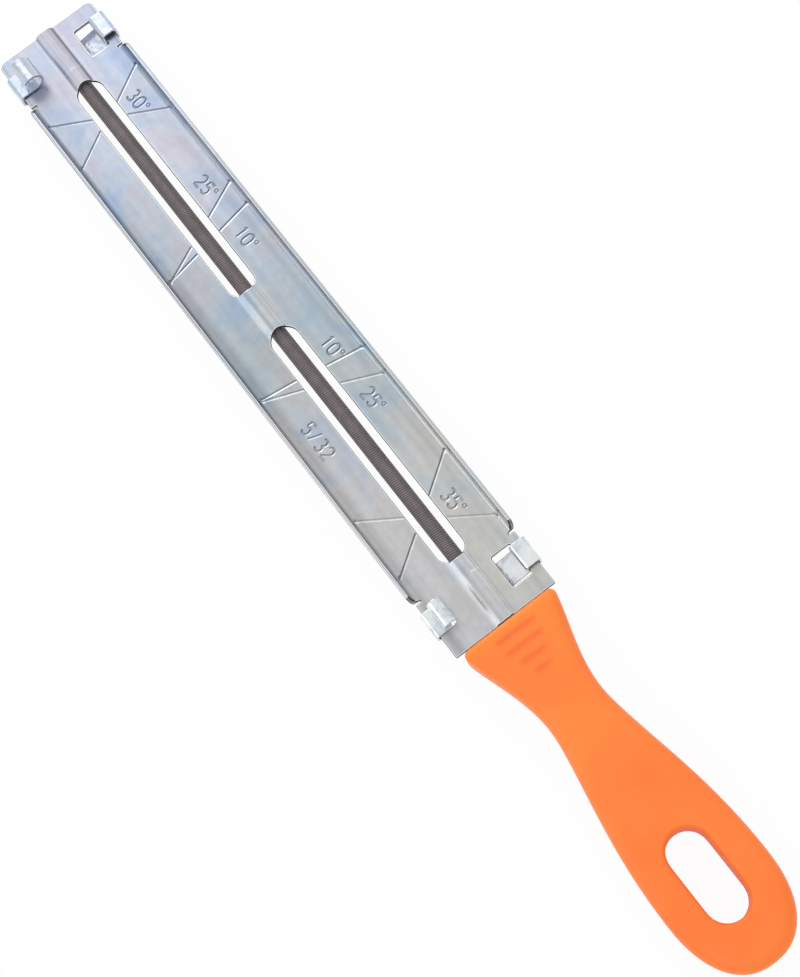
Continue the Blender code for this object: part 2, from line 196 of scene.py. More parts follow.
# Studio
studio = {
    "floorSize": 6,
    "floorColour": "#F4F4F4",
    "floorRoughness": 0.9,
    # how much of the floor's own shading the camera and the metal see. The rest is plain white.
    "floorShadowSeen": 0.05,
    "floorShadowMirrored": 0.7,
    "floorDrop": 0.05 * mm,
    "worldLight": 0.86,
    # what metal sees over the paper: a grey room at 0, behind the handle, and pale walls beyond the tip
    "room": [(0.0, "#84868A"), (0.1, "#8A8C90"), (0.26, "#E4E6E8"), (0.62, "#E8EAEC"), (0.8, "#CCCED2"),
             (1.0, "#FFFFFF")],
    "roomUp": (-0.9, 0.0, 0.44),
    # place, width and power in watts of each soft light, which all face the tool's middle
    "lights": {
        "overTip": ((-1.15, 0.15, 1.0), 1.3, 2.6),
        "overHandle": ((0.9, -0.5, 1.3), 1.2, 3.0),
        "lowSide": ((-0.3, -1.3, 0.7), 0.8, 1.4),
        "lowTip": ((-1.36, 0.0, 0.5), 0.9, 3.4),
    },
}


def makeFloor():
    shape = bmesh.new()
    bmesh.ops.create_grid(shape, x_segments=1, y_segments=1, size=studio["floorSize"] / 2)
    bmesh.ops.translate(shape, verts=shape.verts, vec=(0, 0, -studio["floorDrop"]))
    mesh = bpy.data.meshes.new("floor")
    shape.to_mesh(mesh)
    shape.free()
    floor = newObject("floor", mesh)
    material = bpy.data.materials.new("paperSweep")
    material.use_nodes = True
    tree = material.node_tree
    paper = tree.nodes["Principled BSDF"]
    paper.inputs["Base Color"].default_value = linearColour(studio["floorColour"])
    paper.inputs["Roughness"].default_value = studio["floorRoughness"]
    white = addNode(tree, "ShaderNodeEmission", None, {"Strength": 1})
    ray = addNode(tree, "ShaderNodeLightPath")
    seen = addNode(tree, "ShaderNodeMath", {"operation": "MAXIMUM"},
                   {0: ray.outputs["Is Camera Ray"], 1: ray.outputs["Is Transmission Ray"]})
    mirrored = addNode(tree, "ShaderNodeMath", {"operation": "MULTIPLY"},
                       {0: ray.outputs["Is Glossy Ray"], 1: 1 - studio["floorShadowMirrored"]})
    share = addNode(tree, "ShaderNodeMath", {"operation": "MULTIPLY_ADD", "use_clamp": True},
                    {0: seen.outputs[0], 1: 1 - studio["floorShadowSeen"], 2: mirrored.outputs[0]})
    sweep = addNode(tree, "ShaderNodeMixShader", None,
                    {0: share.outputs[0], 1: paper.outputs[0], 2: white.outputs[0]})
    tree.links.new(sweep.outputs[0], tree.nodes["Material Output"].inputs["Surface"])
    mesh.materials.append(material)


def makeWorld():
    world = bpy.data.worlds.new("studioAir")
    bpy.context.scene.world = world
    world.use_nodes = True
    tree = world.node_tree
    sky = tree.nodes["Background"]
    ray = addNode(tree, "ShaderNodeLightPath")
    seen = addNode(tree, "ShaderNodeMath", {"operation": "ADD", "use_clamp": True},
                   {0: ray.outputs["Is Camera Ray"], 1: ray.outputs["Is Glossy Ray"]})
    seen = addNode(tree, "ShaderNodeMath", {"operation": "ADD", "use_clamp": True},
                   {0: seen.outputs[0], 1: ray.outputs["Is Transmission Ray"]})
    strength = addNode(tree, "ShaderNodeMapRange", None,
                       {"Value": seen.outputs[0], "To Min": studio["worldLight"], "To Max": 1})
    toward = addNode(tree, "ShaderNodeTexCoord")
    height = addNode(tree, "ShaderNodeVectorMath", {"operation": "DOT_PRODUCT"},
                     {0: toward.outputs["Generated"], 1: studio["roomUp"]})
    room = addNode(tree, "ShaderNodeValToRGB", {"stops": studio["room"]}, {"Fac": height.outputs["Value"]})
    around = addNode(tree, "ShaderNodeMixRGB", None,
                     {"Fac": ray.outputs["Is Glossy Ray"], "Color1": (1, 1, 1, 1),
                      "Color2": room.outputs["Color"]})
    tree.links.new(around.outputs["Color"], sky.inputs["Color"])
    tree.links.new(strength.outputs["Result"], sky.inputs["Strength"])


def makeLights():
    for name, (place, size, power) in studio["lights"].items():
        lamp = bpy.data.lights.new(name, "AREA")
        lamp.shape = "DISK"
        lamp.size = size
        lamp.energy = power
        made = newObject(name, lamp)
        made.location = place
        made.rotation_euler = Vector(place).to_track_quat("Z", "Y").to_euler()
    print("studio lit")


# Pressed plate
plate = {
    "topHeight": 8.3 * mm,
    "tipX": -146.2 * mm,
    "edgeRadius": 0.3 * mm,  # a punched and tumbled edge rolls over about this much
    "edgeSegments": 3,
    "roundFrom": 50,  # degrees between two faces that an edge is rounded from
    "creaseFrom": 16,  # and the degrees that shading is creased from
    "halfWidth": 15.5,  # in mm
    "alongShadeEnd": 50,  # along X in mm, at the plate's heel
    "filmFades": (-60, 40),  # along X in mm, where the clear film gives way to the grey
    "ridgeToFlatsShade": (2.5, 3.6),  # from the axis in mm, where the ridge's painted shade gives way to the flats'
    "tipShadeFade": (-110, -70),  # along X in mm, where the tip's painted shade gives way to the heel's
    "plainShade": 0.8,
    # Painted shade and painted highlights across the plate near its tip and its heel, in bands darker or
    # paler than
    # its plain shade: the middle and the reach to each side in mm, and how pale it is there, of which 1 is
    # plain
    "tipShadeBands": [
        (-15.3, 0.7, 1.2),    # painted highlight on the flange
        (-13.9, 0.5, 0.72),   # painted shade in the flange's bend
        (-2.5, 0.5, 0.5),     # painted shade at the ridge's foot
        (-1.4, 0.6, 1.25),    # painted highlight on the side of the ridge
        (0.1, 0.9, 0.74),     # painted shade on the crown
        (2.4, 0.6, 0.3),
        (13.9, 0.6, 0.78),
        (15.2, 0.6, 1.25),
    ],
    "heelShadeBands": [
        (-15.5, 0.6, 1.2),
        (-12.6, 2.0, 0.76),
        (-2.6, 0.7, 1.25),
        (-0.8, 0.9, 0.84),
        (1.8, 0.7, 1.25),
        (2.8, 0.3, 0.78),
        (11.5, 1.7, 0.84),
        (14.5, 0.6, 0.8),
        (15.5, 0.4, 1.25),
    ],
    # bright marks that the press left across the ridge: middle from the tip, middle across and half length
    # in mm, and strength
    "toolMarks": [(14.0, 0.0, 2.4, 0.3), (182.0, 1.5, 1.0, 0.9)],
    "toolMarkHalfWidth": 0.2,  # in mm
}

# Angle lines and numbers pressed into the plate's top with sharp wedges
marks = {
    "wedgeSlope": 0.4,  # how far a wall sinks for each step across it
    "lineWidth": 0.8 * mm,
    "digitWidth": 0.75 * mm,
    "ringWidth": 0.5 * mm,
    "lineShade": 0.15,  # how much painted shade darkens a groove, from 0 to 1
    "numberShade": 0.45,
    "farWallShade": 1.5,  # more painted shade added on walls that face the handle, as far as they do
    "lineFoot": 3.95 * mm,
    "lineHead": 13.9 * mm,
    # from the tip edge to the line's foot in mm, the side it is on, and its lean in degrees towards the
    # handle
    "lines": [
        (28.7, 1, -30), (33.3, 1, 30), (69.6, 1, -25), (74.3, 1, -10),
        (119.5, 1, 10), (125.2, 1, 25), (161.1, 1, -35), (167.8, 1, 35),
        (28.8, -1, -30), (32.6, -1, 30), (73.2, -1, 25), (75.8, -1, 10),
        (118.0, -1, -8), (121.0, -1, -22), (161.7, -1, -34), (166.4, -1, 34),
    ],
    # the number, and its digits' middle from the tip edge and from the file's axis in mm: the angles of the
    # lines in degrees, and the file's width in inches
    "numbers": [("30°", 31.5, 8.3), ("25°", 62.0, 8.2), ("10°", 79.6, 8.1),
                ("10°", 116.2, 7.9), ("25°", 133.0, 7.8), ("35°", 165.2, 7.7), ("5/32", 133.9, -8.8)],
    "cell": (1.8 * mm, 3.6 * mm),  # width and height of a digit, between the middles of its strokes
    "digitPitch": 2.65 * mm,
    "digitNudge": 0.2 * mm,
    "degreeRadius": 0.45 * mm,
}


def bow(middle, radii, start, end, steps=10):
    # Points along part of an oval, with its angles in degrees
    points = []
    for step in range(steps + 1):
        turn = math.radians(start + (end - start) * step / steps)
        points.append(Vector((middle[0] + radii[0] * math.cos(turn),
                              middle[1] + radii[1] * math.sin(turn))))
    return points


def digitStrokes(digit):
    # Strokes of a stamped number in a cell that is 1 wide and 1 high, each without a sharp corner. The last
    # ones are those of a 5.
    if digit == "0":
        upper, lower = (0.5, 0.66), (0.5, 0.34)
        return [bow(upper, (0.5, 0.34), 0, 180) + bow(lower, (0.5, 0.34), 180, 360) + [Vector((1, 0.66))]]
    if digit == "/":
        return [[Vector((0.1, 0)), Vector((0.8, 1))]]
    if digit == "1":
        return [[Vector((0.3, 0.8)), Vector((0.62, 1))], [Vector((0.62, 1)), Vector((0.62, 0))]]
    if digit == "2":
        return [bow((0.5, 0.7), (0.48, 0.3), 165, -35) + [Vector((0, 0))], [Vector((0, 0)), Vector((1, 0))]]
    if digit == "3":
        return [bow((0.48, 0.75), (0.42, 0.25), 150, -80), bow((0.48, 0.25), (0.5, 0.25), 90, -150)]
    return [[Vector((0.92, 1)), Vector((0.14, 1))],
            [Vector((0.14, 1)), Vector((0.08, 0.55))],
            bow((0.46, 0.31), (0.52, 0.31), 135, -150)]


def markStrokes():
    # The lines' and the numbers' strokes, each as its width and a list of points on the plate's top
    lines = []
    numbers = []
    for foot, side, lean in marks["lines"]:
        rise = marks["lineHead"] - marks["lineFoot"]
        start = Vector((plate["tipX"] + foot * mm, side * marks["lineFoot"]))
        head = start + Vector((rise * math.tan(math.radians(lean)), side * rise))
        lines.append((marks["lineWidth"], [start, head]))
    cell = Vector(marks["cell"])
    radius = marks["degreeRadius"]
    pitch = marks["digitPitch"]
    for number, fromTip, fromAxis in marks["numbers"]:
        middle = Vector((plate["tipX"] + fromTip * mm, fromAxis * mm))
        digits = number.rstrip("°")
        half = len(digits) / 2 * pitch
        for place, digit in enumerate(digits):
            corner = middle + Vector((place * pitch - half + marks["digitNudge"], -cell.y / 2))
            for stroke in digitStrokes(digit):
                numbers.append((marks["digitWidth"], [corner + point * cell for point in stroke]))
        if digits != number:
            ring = middle + Vector((half + radius, cell.y / 2 - radius))
            numbers.append((marks["ringWidth"], bow(ring, (radius, radius), 0, 360, steps=12)))
    return lines, numbers


def wedgeProfile():
    # A flat diamond, twice as wide as a groove, whose lower point does the cutting
    slope = marks["wedgeSlope"]
    profile = bpy.data.curves.new("wedgeProfile", "CURVE")
    diamond = profile.splines.new("POLY")
    diamond.points.add(3)
    diamond.use_cyclic_u = True
    for point, place in zip(diamond.points, ((1, 0), (0, slope), (-1, 0), (0, -slope))):
        point.co = (*place, 0, 1)
    return newObject("wedgeProfile", profile)


def wedgesAlong(strokes, profile):
    # A mesh of wedges along the strokes, each raised by half its depth, so that it cuts as wide as its stroke
    path = bpy.data.curves.new("wedgePath", "CURVE")
    path.dimensions = "3D"
    path.twist_mode = "Z_UP"
    path.bevel_mode = "OBJECT"
    path.bevel_object = profile
    path.use_fill_caps = True
    for width, points in strokes:
        closed = (points[0] - points[-1]).length < mergeReach
        if closed:
            points = points[:-1]
        stroke = path.splines.new("POLY")
        stroke.points.add(len(points) - 1)
        stroke.use_cyclic_u = closed
        for place, point in zip(stroke.points, points):
            place.co = (point.x, point.y, plate["topHeight"] + width * marks["wedgeSlope"] / 2, 1)
            place.radius = width
    holder = newObject("wedgePath", path)
    bpy.context.view_layer.update()
    mesh = bpy.data.meshes.new_from_object(holder.evaluated_get(bpy.context.evaluated_depsgraph_get()))
    bpy.data.objects.remove(holder)
    return mesh


def markCutter():
    # All the wedges. How much painted shade a groove gets stays on the wedge's faces, which pass it to the
    # groove's walls. A wedge's face looks away from the wall that it leaves, so the walls that face the
    # handle, which get more painted shade, are left by the faces that look towards the tip.
    profile = wedgeProfile()
    shape = bmesh.new()
    grooveDirt = shape.faces.layers.float.new("grooveDirt")
    for strokes, grooveDarkening in zip(markStrokes(), (marks["lineShade"], marks["numberShade"])):
        shape.from_mesh(wedgesAlong(strokes, profile))
        for face in shape.faces:
            if face[grooveDirt] == 0:
                face[grooveDirt] = grooveDarkening
    bpy.data.objects.remove(profile)
    bmesh.ops.remove_doubles(shape, verts=shape.verts, dist=mergeReach)
    bmesh.ops.recalc_face_normals(shape, faces=shape.faces)
    for face in shape.faces:
        face[grooveDirt] += marks["farWallShade"] * max(0, -face.normal.x)
    mesh = bpy.data.meshes.new("markCutter")
    shape.to_mesh(mesh)
    shape.free()
    return newObject("markCutter", mesh)


def pressMarks(piece):
    cutter = markCutter()
    press = piece.modifiers.new("pressMarks", "BOOLEAN")
    press.operation = "DIFFERENCE"
    press.solver = "EXACT"
    press.use_self = True
    press.object = cutter
    applyModifiers(piece)
    joinFlats(piece.data)
    bpy.data.objects.remove(cutter)


def shadeBandStops(shadeBands):
    # A ramp's stops across the plate, back to plain at both ends of each band of painted shade or highlight
    stops = []
    for middle, reach, shade in shadeBands:
        for across, value in ((middle - reach, 1), (middle, shade), (middle + reach, 1)):
            share = 0.5 + across / (2 * plate["halfWidth"])
            if 0 <= share <= 1:
                stops.append((share, plate["plainShade"] * value))
    return sorted(stops)


def platingTintAndShade(tree, place, across, towardHeel):
    # Clear blue passivation with soft pink and straw clouds at the tip, worn to a plain grey at the heel,
    # under painted shade that changes along the plate, with its own steps on each side and nearly none on the
    # ridge
    clouds = addNode(tree, "ShaderNodeTexNoise", None,
                     {"Vector": place, "Scale": 1 / 13, "Detail": 2, "Roughness": 0.45, "Distortion": 0.5})
    clear = addNode(tree, "ShaderNodeValToRGB", {"stops": [
        (0.35, "#D4E2FF"), (0.50, "#E8EDFC"), (0.60, "#EEE9F6")]},
        {"Fac": clouds.outputs["Fac"]})
    grey = addNode(tree, "ShaderNodeValToRGB", {"stops": [
        (0.35, "#E5EBF4"), (0.50, "#F0F0F2"), (0.65, "#F0EEED")]},
        {"Fac": clouds.outputs["Fac"]})
    tint = addNode(tree, "ShaderNodeMixRGB", None,
                   {"Fac": towardHeel, "Color1": clear.outputs["Color"], "Color2": grey.outputs["Color"]})
    # Painted shade along the plate: one ramp on the hook side, one on the snap side, and a nearly white one
    # on the ridge
    fromTip = addNode(tree, "ShaderNodeMapRange", None,
                      {"Value": across["X"], "From Min": plate["tipX"] / mm, "From Max": plate["alongShadeEnd"]})
    hookSideShade = addNode(tree, "ShaderNodeValToRGB", {"stops": [
        (0.0, "#E4EAF0"), (0.35, "#F2F2EE"), (0.55, "#E0EDEA"), (0.78, "#FCFCF4")]},
        {"Fac": fromTip.outputs["Result"]})
    snapSideShade = addNode(tree, "ShaderNodeValToRGB", {"stops": [
        (0.0, "#E8ECF0"), (0.55, "#DEE5DE"), (0.67, "#F7F5EE"), (1.0, "#FFFFFF")]},
        {"Fac": fromTip.outputs["Result"]})
    hookSide = addNode(tree, "ShaderNodeMath", {"operation": "GREATER_THAN"}, {0: across["Y"], 1: 0})
    alongShade = addNode(tree, "ShaderNodeMixRGB", None,
                   {"Fac": hookSide.outputs[0], "Color1": snapSideShade.outputs["Color"],
                    "Color2": hookSideShade.outputs["Color"]})
    fromAxis = addNode(tree, "ShaderNodeMath", {"operation": "ABSOLUTE"}, {0: across["Y"]})
    onFlats = addNode(tree, "ShaderNodeMapRange", None,
                      {"Value": fromAxis.outputs[0], "From Min": plate["ridgeToFlatsShade"][0],
                       "From Max": plate["ridgeToFlatsShade"][1]})
    ridgeShade = addNode(tree, "ShaderNodeValToRGB", {"stops": [
        (0.2, "#FFFFFF"), (0.4, "#F8FCF0"), (0.6, "#FAFDF6"), (0.8, "#FFFFFF")]},
        {"Fac": fromTip.outputs["Result"]})
    alongShade = addNode(tree, "ShaderNodeMixRGB", None,
                   {"Fac": onFlats.outputs["Result"], "Color1": ridgeShade.outputs["Color"],
                    "Color2": alongShade.outputs["Color"]})
    alongShaded = addNode(tree, "ShaderNodeMixRGB", {"blend_type": "MULTIPLY"},
                     {"Fac": 1, "Color1": tint.outputs["Color"], "Color2": alongShade.outputs["Color"]})
    return alongShaded.outputs["Color"]


def platingShadeAndWear(tree, colour, place, across):
    # Painted shade in the bends and at the ridge's feet, painted highlights on the flanges and the ridge's
    # sides, rolling bands, small dirty spots, painted shade in the pressed grooves, and painted light on the
    # rounded edges
    side = addNode(tree, "ShaderNodeMapRange", None,
                   {"Value": across["Y"], "From Min": -plate["halfWidth"], "From Max": plate["halfWidth"]})
    shades = []
    for name in ("tipShadeBands", "heelShadeBands"):
        shades.append(addNode(tree, "ShaderNodeValToRGB", {"stops": shadeBandStops(plate[name])},
                              {"Fac": side.outputs["Result"]}))
    pastTip = addNode(tree, "ShaderNodeMapRange", None,
                      {"Value": across["X"], "From Min": plate["tipShadeFade"][0],
                       "From Max": plate["tipShadeFade"][1]})
    shade = addNode(tree, "ShaderNodeMixRGB", None,
                    {"Fac": pastTip.outputs["Result"], "Color1": shades[0].outputs["Color"],
                     "Color2": shades[1].outputs["Color"]})
    shaded = addNode(tree, "ShaderNodeMixRGB", {"blend_type": "MULTIPLY"},
                   {"Fac": 1, "Color1": colour, "Color2": shade.outputs["Color"]})
    alongSheet = addNode(tree, "ShaderNodeMapping", None,
                         {"Vector": place, "Scale": (1 / 40, 1 / 2.4, 1 / 2.4)})
    bands = addNode(tree, "ShaderNodeTexNoise", None,
                    {"Vector": alongSheet.outputs["Vector"], "Scale": 1, "Detail": 2})
    banded = addNode(tree, "ShaderNodeMapRange", None,
                     {"Value": bands.outputs["Fac"], **noiseSpread, "To Min": 0.92, "To Max": 1.06})
    grime = addNode(tree, "ShaderNodeTexNoise", None,
                    {"Vector": place, "Scale": 1 / 2.2, "Detail": 5, "Roughness": 0.62})
    spotted = addNode(tree, "ShaderNodeMapRange", None,
                      {"Value": grime.outputs["Fac"], **noiseSpread, "To Min": 0.92, "To Max": 1.03})
    dulled = addNode(tree, "ShaderNodeMath", {"operation": "MULTIPLY"},
                     {0: banded.outputs["Result"], 1: spotted.outputs["Result"]})
    dirty = addNode(tree, "ShaderNodeVectorMath", {"operation": "SCALE"},
                    {"Vector": shaded.outputs["Color"], "Scale": dulled.outputs[0]})
    # Painted shade in the pressed grooves, deepest on their walls that face the handle
    pressed = addNode(tree, "ShaderNodeAttribute", {"attribute_name": "grooveDirt"})
    stamped = addNode(tree, "ShaderNodeMixRGB", {"blend_type": "MULTIPLY"},
                      {"Fac": pressed.outputs["Fac"], "Color1": dirty.outputs["Vector"],
                       "Color2": linearColour("#B0B4B8")})
    # Painted light on the rounded edges: a painted highlight where they start to turn, painted shade where
    # they stand upright
    rolled = addNode(tree, "ShaderNodeAttribute", {"attribute_name": "edgeShare"})
    onEdge = addNode(tree, "ShaderNodeMath", {"operation": "GREATER_THAN"},
                     {0: rolled.outputs["Fac"], 1: 0.01})
    edge = addNode(tree, "ShaderNodeValToRGB", {"stops": [
        (0.1, "#FAFAFA"), (0.22, "#606469"), (1.0, "#64686E")]}, {"Fac": rolled.outputs["Fac"]})
    edgeLitAndMarked = addNode(tree, "ShaderNodeMixRGB", None,
                    {"Fac": onEdge.outputs[0], "Color1": stamped.outputs["Color"],
                     "Color2": edge.outputs["Color"]})
    for fromTip, middle, half, strength in plate["toolMarks"]:
        beside = addNode(tree, "ShaderNodeMath", {"operation": "COMPARE"},
                         {0: across["X"], 1: plate["tipX"] / mm + fromTip, 2: plate["toolMarkHalfWidth"]})
        within = addNode(tree, "ShaderNodeMath", {"operation": "COMPARE"},
                         {0: across["Y"], 1: middle, 2: half})
        marked = addNode(tree, "ShaderNodeMath", {"operation": "MULTIPLY"},
                         {0: beside.outputs[0], 1: strength})
        markOrGrooveShade = addNode(tree, "ShaderNodeMath", {"operation": "MULTIPLY"},
                         {0: marked.outputs[0], 1: within.outputs[0]})
        edgeLitAndMarked = addNode(tree, "ShaderNodeMixRGB", None,
                        {"Fac": markOrGrooveShade.outputs[0], "Color1": edgeLitAndMarked.outputs["Color"],
                         "Color2": linearColour("#FCFCFC")})
    return edgeLitAndMarked.outputs["Color"]


def makeZincPlate():
    # Steel sheet, pressed and then zinc plated with a clear passivation. The plating is pale and slightly
    # blue, and the sheet's rolling leaves faint lines along it.
    material, tree, shader, place = startMaterial("zincPlatedSheetSteel", {"Metallic": 1, "Roughness": 0.33})
    across = addNode(tree, "ShaderNodeSeparateXYZ", None, {"Vector": place}).outputs
    towardHeel = addNode(tree, "ShaderNodeMapRange", None,
                         {"Value": across["X"], "From Min": plate["filmFades"][0],
                          "From Max": plate["filmFades"][1]}).outputs["Result"]
    tint = platingTintAndShade(tree, place, across, towardHeel)
    tree.links.new(platingShadeAndWear(tree, tint, place, across), shader.inputs["Base Color"])
    alongSheet = addNode(tree, "ShaderNodeMapping", None,
                         {"Vector": place, "Scale": (1 / 9, 1 / 0.35, 1 / 0.35)})
    rolling = addNode(tree, "ShaderNodeTexNoise", None,
                      {"Vector": alongSheet.outputs["Vector"], "Scale": 1, "Detail": 3, "Roughness": 0.6})
    rough = addNode(tree, "ShaderNodeMapRange", None,
                    {"Value": rolling.outputs["Fac"], **noiseSpread, "To Min": 0.3, "To Max": 0.38})
    tree.links.new(rough.outputs["Result"], shader.inputs["Roughness"])
    waves = addNode(tree, "ShaderNodeTexNoise", None, {"Vector": place, "Scale": 1 / 6, "Detail": 1})
    wavy = addNode(tree, "ShaderNodeBump", None,
                   {"Height": waves.outputs["Fac"], "Distance": 0.12 * mm, "Strength": 0.6})
    fine = addNode(tree, "ShaderNodeBump", None,
                   {"Height": rolling.outputs["Fac"], "Distance": 0.003 * mm, "Strength": 1,
                    "Normal": wavy.outputs["Normal"]})
    tree.links.new(fine.outputs["Normal"], shader.inputs["Normal"])
    return material


def makePlate():
    piece = copyOfNode("guide_plate", "pressedPlate")
    softenEdges(piece, plate["edgeRadius"], plate["edgeSegments"], plate["roundFrom"])
    pressMarks(piece)
    shadeByAngle(piece, plate["creaseFrom"])
    finishPiece(piece, makeZincPlate(), "plate", "guide_plate")
    print("plate pressed and marked:", len(piece.data.polygons), "faces")


# Spring clips
clips = {
    "edgeRadius": 0.14 * mm,
    "edgeSegments": 3,
    "roundFrom": 50,  # degrees
    "creaseFrom": 35,
}


def makeSpringSteel():
    # Spring strip, bent and then bright zinc plated. It is smoother than the plate, bluish on the tip's clip
    # and nearly white on the heel's. Drawing it round its bends leaves fine lines and small dents across it.
    material, tree, shader, place = startMaterial("zincPlatedSpringSteel", {"Metallic": 1, "Roughness": 0.22})
    clouds = addNode(tree, "ShaderNodeTexNoise", None,
                     {"Vector": place, "Scale": 1 / 4, "Detail": 3, "Roughness": 0.55, "Distortion": 0.4})
    bluish = addNode(tree, "ShaderNodeValToRGB", {"stops": [
        (0.32, "#C6D4E8"), (0.50, "#D8DEEA"), (0.68, "#DFE0E5")]}, {"Fac": clouds.outputs["Fac"]})
    bright = addNode(tree, "ShaderNodeValToRGB", {"stops": [
        (0.32, "#D4DCE2"), (0.48, "#F2F6F8"), (0.68, "#FFFFFC")]}, {"Fac": clouds.outputs["Fac"]})
    along = addNode(tree, "ShaderNodeSeparateXYZ", None, {"Vector": place})
    atHeel = addNode(tree, "ShaderNodeMath", {"operation": "GREATER_THAN"}, {0: along.outputs["X"], 1: 0})
    tint = addNode(tree, "ShaderNodeMixRGB", None,
                   {"Fac": atHeel.outputs[0], "Color1": bluish.outputs["Color"],
                    "Color2": bright.outputs["Color"]})
    tree.links.new(tint.outputs["Color"], shader.inputs["Base Color"])
    across = addNode(tree, "ShaderNodeMapping", None, {"Vector": place, "Scale": (1 / 7, 1 / 0.7, 1 / 0.7)})
    drawn = addNode(tree, "ShaderNodeTexNoise", None,
                    {"Vector": across.outputs["Vector"], "Scale": 1, "Detail": 1, "Roughness": 0.6})
    rough = addNode(tree, "ShaderNodeMapRange", None,
                    {"Value": drawn.outputs["Fac"], **noiseSpread, "To Min": 0.16, "To Max": 0.34})
    tree.links.new(rough.outputs["Result"], shader.inputs["Roughness"])
    dents = addNode(tree, "ShaderNodeTexNoise", None, {"Vector": place, "Scale": 1 / 1.3, "Detail": 1})
    dented = addNode(tree, "ShaderNodeBump", None,
                     {"Height": dents.outputs["Fac"], "Distance": 0.14 * mm, "Strength": 0.6})
    fine = addNode(tree, "ShaderNodeBump", None,
                   {"Height": drawn.outputs["Fac"], "Distance": 0.008 * mm, "Strength": 1,
                    "Normal": dented.outputs["Normal"]})
    tree.links.new(fine.outputs["Normal"], shader.inputs["Normal"])
    return material


def makeClips():
    steel = makeSpringSteel()
    for node, name in (("tip_clip", "tipClip"), ("heel_clip", "heelClip")):
        piece = copyOfNode(node, name)
        softenEdges(piece, clips["edgeRadius"], clips["edgeSegments"], clips["roundFrom"])
        shadeByAngle(piece, clips["creaseFrom"])
        finishPiece(piece, steel, node, node)
    print("clips bent")


# Round file
roundFile = {
    "radius": 2 * mm,
    "axisHeight": 6 * mm,
    "cutEnd": 47 * mm,
    "toothPitch": 0.55 * mm,  # a little coarser than the real cut, so that it shows
    "toothDepth": 0.1 * mm,
    "ringsPerTooth": 5,
    "starts": 3,  # how many spiral cuts run side by side
    "endMargin": 0.01 * mm,  # how near its ends the cut stops
    "rimShare": 0.9,  # points nearer to the axis than this share of the radius aren't on the cut surface
    "creaseFrom": 50,  # degrees
}


def makeFileSteel():
    # Hardened tool steel, cut with fine spiral teeth and left dark from hardening and oil. A painted
    # highlight lies on the teeth's edges, and painted shade darkens the gullets.
    material, tree, shader, place = startMaterial("hardenedFileSteel", {"Metallic": 0.5, "Roughness": 0.42})
    cloud = addNode(tree, "ShaderNodeTexNoise", None,
                    {"Vector": place, "Scale": 1 / 3, "Detail": 4, "Roughness": 0.6})
    tint = addNode(tree, "ShaderNodeValToRGB", {"stops": [
        (0.30, "#8C8485"), (0.55, "#9A9193"), (0.75, "#A59D9E")]}, {"Fac": cloud.outputs["Fac"]})
    # The same spiral as the teeth: a share that runs from 0 at a gullet to 1 at a cutting edge, which sets
    # the painted shade and highlight
    part = addNode(tree, "ShaderNodeSeparateXYZ", None, {"Vector": place})
    height = addNode(tree, "ShaderNodeMath", {"operation": "SUBTRACT"},
                     {0: part.outputs["Z"], 1: roundFile["axisHeight"] / mm})
    turn = addNode(tree, "ShaderNodeMath", {"operation": "ARCTAN2"},
                   {0: height.outputs[0], 1: part.outputs["Y"]})
    coils = addNode(tree, "ShaderNodeMath", {"operation": "MULTIPLY"},
                     {0: turn.outputs[0], 1: roundFile["starts"] / (2 * math.pi)})
    fromTip = addNode(tree, "ShaderNodeMath", {"operation": "SUBTRACT"},
                      {0: part.outputs["X"], 1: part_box("round_file")[0].x / mm})
    pitches = addNode(tree, "ShaderNodeMath", {"operation": "MULTIPLY_ADD"},
                      {0: fromTip.outputs[0], 1: mm / roundFile["toothPitch"], 2: coils.outputs[0]})
    share = addNode(tree, "ShaderNodeMath", {"operation": "FRACT"}, {0: pitches.outputs[0]})
    toothHighlightAndShade = addNode(tree, "ShaderNodeValToRGB", {"stops": [
        (0.0, "#A09A9B"), (0.25, "#8E8889"), (0.7, "#D0CDCD"), (0.92, "#FFFFFF"), (1.0, "#C0BCBC")]},
        {"Fac": share.outputs[0]})
    cut = addNode(tree, "ShaderNodeMath", {"operation": "LESS_THAN"},
                  {0: part.outputs["X"], 1: roundFile["cutEnd"] / mm})
    litTeeth = addNode(tree, "ShaderNodeMixRGB", {"blend_type": "MULTIPLY"},
                     {"Fac": cut.outputs[0], "Color1": tint.outputs["Color"],
                      "Color2": toothHighlightAndShade.outputs["Color"]})
    tree.links.new(litTeeth.outputs["Color"], shader.inputs["Base Color"])
    grain = addNode(tree, "ShaderNodeTexNoise", None, {"Vector": place, "Scale": 1 / 0.15, "Detail": 3})
    rough = addNode(tree, "ShaderNodeMapRange", None,
                    {"Value": grain.outputs["Fac"], **noiseSpread, "To Min": 0.34, "To Max": 0.52})
    tree.links.new(rough.outputs["Result"], shader.inputs["Roughness"])
    bump = addNode(tree, "ShaderNodeBump", None,
                   {"Height": grain.outputs["Fac"], "Distance": 0.01 * mm, "Strength": 0.8})
    tree.links.new(bump.outputs["Normal"], shader.inputs["Normal"])
    return material


def setRings(shape, startX, pitch):
    # Subdividing leaves the rings about a thousandth of a millimetre off, and not the same each run, so
    # each point goes to its ring's own place
    for point in shape.verts:
        if point.co.x < roundFile["cutEnd"]:
            point.co.x = startX + round((point.co.x - startX) / pitch) * pitch


